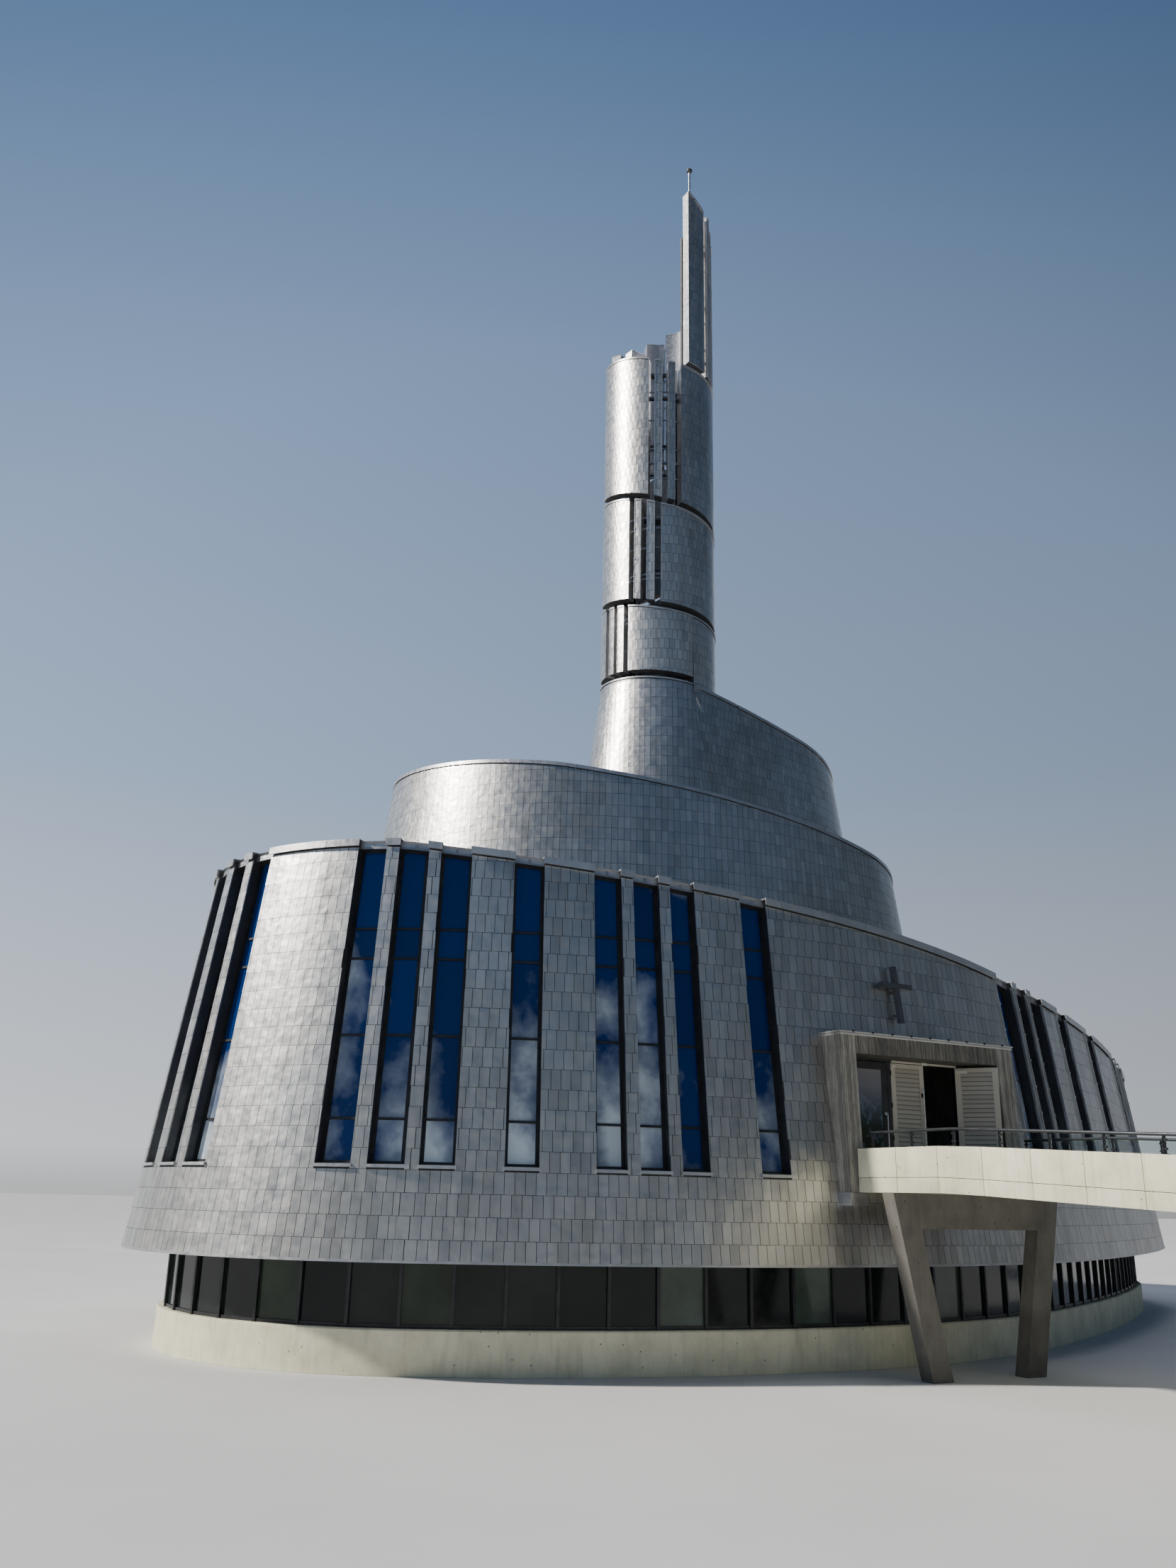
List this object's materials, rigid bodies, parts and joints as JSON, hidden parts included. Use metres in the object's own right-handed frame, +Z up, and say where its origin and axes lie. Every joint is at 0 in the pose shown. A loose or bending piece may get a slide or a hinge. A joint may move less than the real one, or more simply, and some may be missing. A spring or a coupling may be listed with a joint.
{
  "type": "modern church building with a spiral metal wall, scale model at 1:2",
  "caption": "Church whose one shingled metal wall winds up from a wide base to a slender tower, with window slots, a concrete portal and a footbridge to its doors.",
  "frame": {"origin": "on the tower's vertical axis at ground level, on the underside of the ground slab", "axes": "+Z up, the building front with the portal faces -Y, +X to the right seen from the front"},
  "size_m": [16.6841, 24.8022, 23.5],
  "materials": {
    "titanium_cladding": "satin, slightly uneven shingles",
    "metal_trim": "satin",
    "roof_metal": "matt standing-seam sheet",
    "concrete": "fair-faced, with panel joints",
    "dark_concrete": "board-marked",
    "window_glass": "clear, reflecting",
    "dark_frame": "satin",
    "steelwork": "satin",
    "door_paint": "satin"
  },
  "bodies": {
    "building": {"spire_panel": "titanium_cladding", "spire_fins": "titanium_cladding", "tower_crown": "titanium_cladding", "tower_band_top": "titanium_cladding", "tower_fins_top": "titanium_cladding", "tower_band_upper": "titanium_cladding", "tower_fins_middle": "titanium_cladding", "tower_band_middle": "titanium_cladding", "tower_fins_lower": "titanium_cladding", "tower_band_lower": "titanium_cladding", "tower_base": "titanium_cladding", "upper_wall_right": "titanium_cladding", "upper_wall_back": "titanium_cladding", "middle_wall_left": "titanium_cladding", "middle_wall_front": "titanium_cladding", "middle_wall_right": "titanium_cladding", "middle_wall_back": "titanium_cladding", "side_wall_end": "titanium_cladding", "side_wall": "titanium_cladding", "left_wall": "titanium_cladding", "front_wall": "titanium_cladding", "portal_wall": "titanium_cladding", "right_wall": "titanium_cladding", "back_wall": "titanium_cladding", "end_wall": "titanium_cladding", "tower_steel_frame": "steelwork", "finial": "steelwork", "bridge_railing_left": "steelwork", "bridge_railing_right": "steelwork", "upper_roof": "roof_metal", "middle_roof": "roof_metal", "lower_roof": "roof_metal", "back_roof": "roof_metal", "front_window_glass": "window_glass", "right_window_glass": "window_glass", "back_window_glass": "window_glass", "side_window_glass": "window_glass", "ground_glass_band": "window_glass", "entrance_side_glass": "window_glass", "main_floor": "concrete", "ground_slab": "concrete", "plinth_wall": "concrete", "portal_floor": "concrete", "bridge_deck": "concrete", "bridge_parapet_left": "concrete", "bridge_parapet_right": "concrete", "bridge_pier_near": "concrete", "bridge_pier_far": "concrete", "portal_frame": "dark_concrete", "ground_storey_frame": "dark_frame", "door_frame": "dark_frame", "wall_cross": "metal_trim"},
    "left_leaf": {"left_door_leaf": "door_paint"},
    "right_leaf": {"right_door_leaf": "door_paint"},
    "glass_door": {"glass_door_frame": "dark_frame", "glass_door_pane": "window_glass"}
  },
  "joints": [
    {"name": "left_leaf_hinge", "type": "hinge", "parent": "building", "child": "left_leaf", "pos_m": [2.19617, -8.67794, 1.94], "axis": [0, 0, -1], "range_deg": [0, 150]},
    {"name": "right_leaf_hinge", "type": "hinge", "parent": "building", "child": "right_leaf", "pos_m": [3.06764, -8.21457, 1.94], "axis": [0, 0, 1], "range_deg": [-126, 2]},
    {"name": "glass_door_hinge", "type": "hinge", "parent": "building", "child": "glass_door", "pos_m": [1.56177, -9.01525, 1.94], "axis": [0, 0, -1], "range_deg": [0, 90]}
  ]
}
